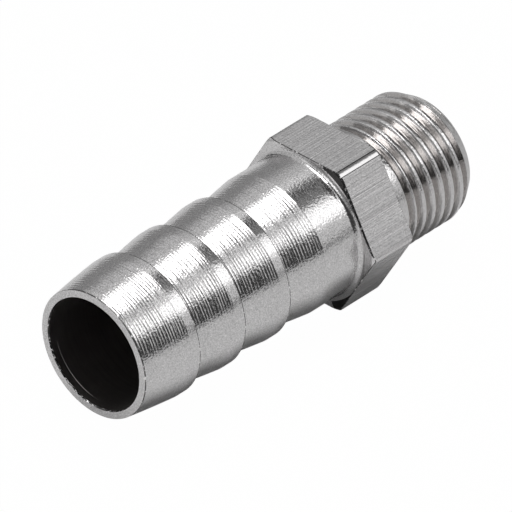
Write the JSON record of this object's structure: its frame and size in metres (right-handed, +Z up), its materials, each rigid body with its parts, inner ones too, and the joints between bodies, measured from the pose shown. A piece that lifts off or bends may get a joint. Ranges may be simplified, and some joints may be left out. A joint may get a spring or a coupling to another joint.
{
  "type": "hose tail fitting with male pipe thread",
  "caption": "Straight adapter turned from hexagon bar: a barbed tail for a soft hose, a hexagon for the spanner and a male parallel pipe thread, bored right through.",
  "frame": {"origin": "on the axis, at the seat: the shoulder of the hexagon at the root of the thread", "axes": "+X along the axis, out of the thread; +Z up, square to a flat of the hexagon"},
  "size_m": [0.0318, 0.0126, 0.011],
  "materials": {
    "nickel_plate": "satin nickel plate on turned brass"
  },
  "bodies": {
    "root": {"hose_tail_fitting": "nickel_plate"}
  },
  "joints": []
}
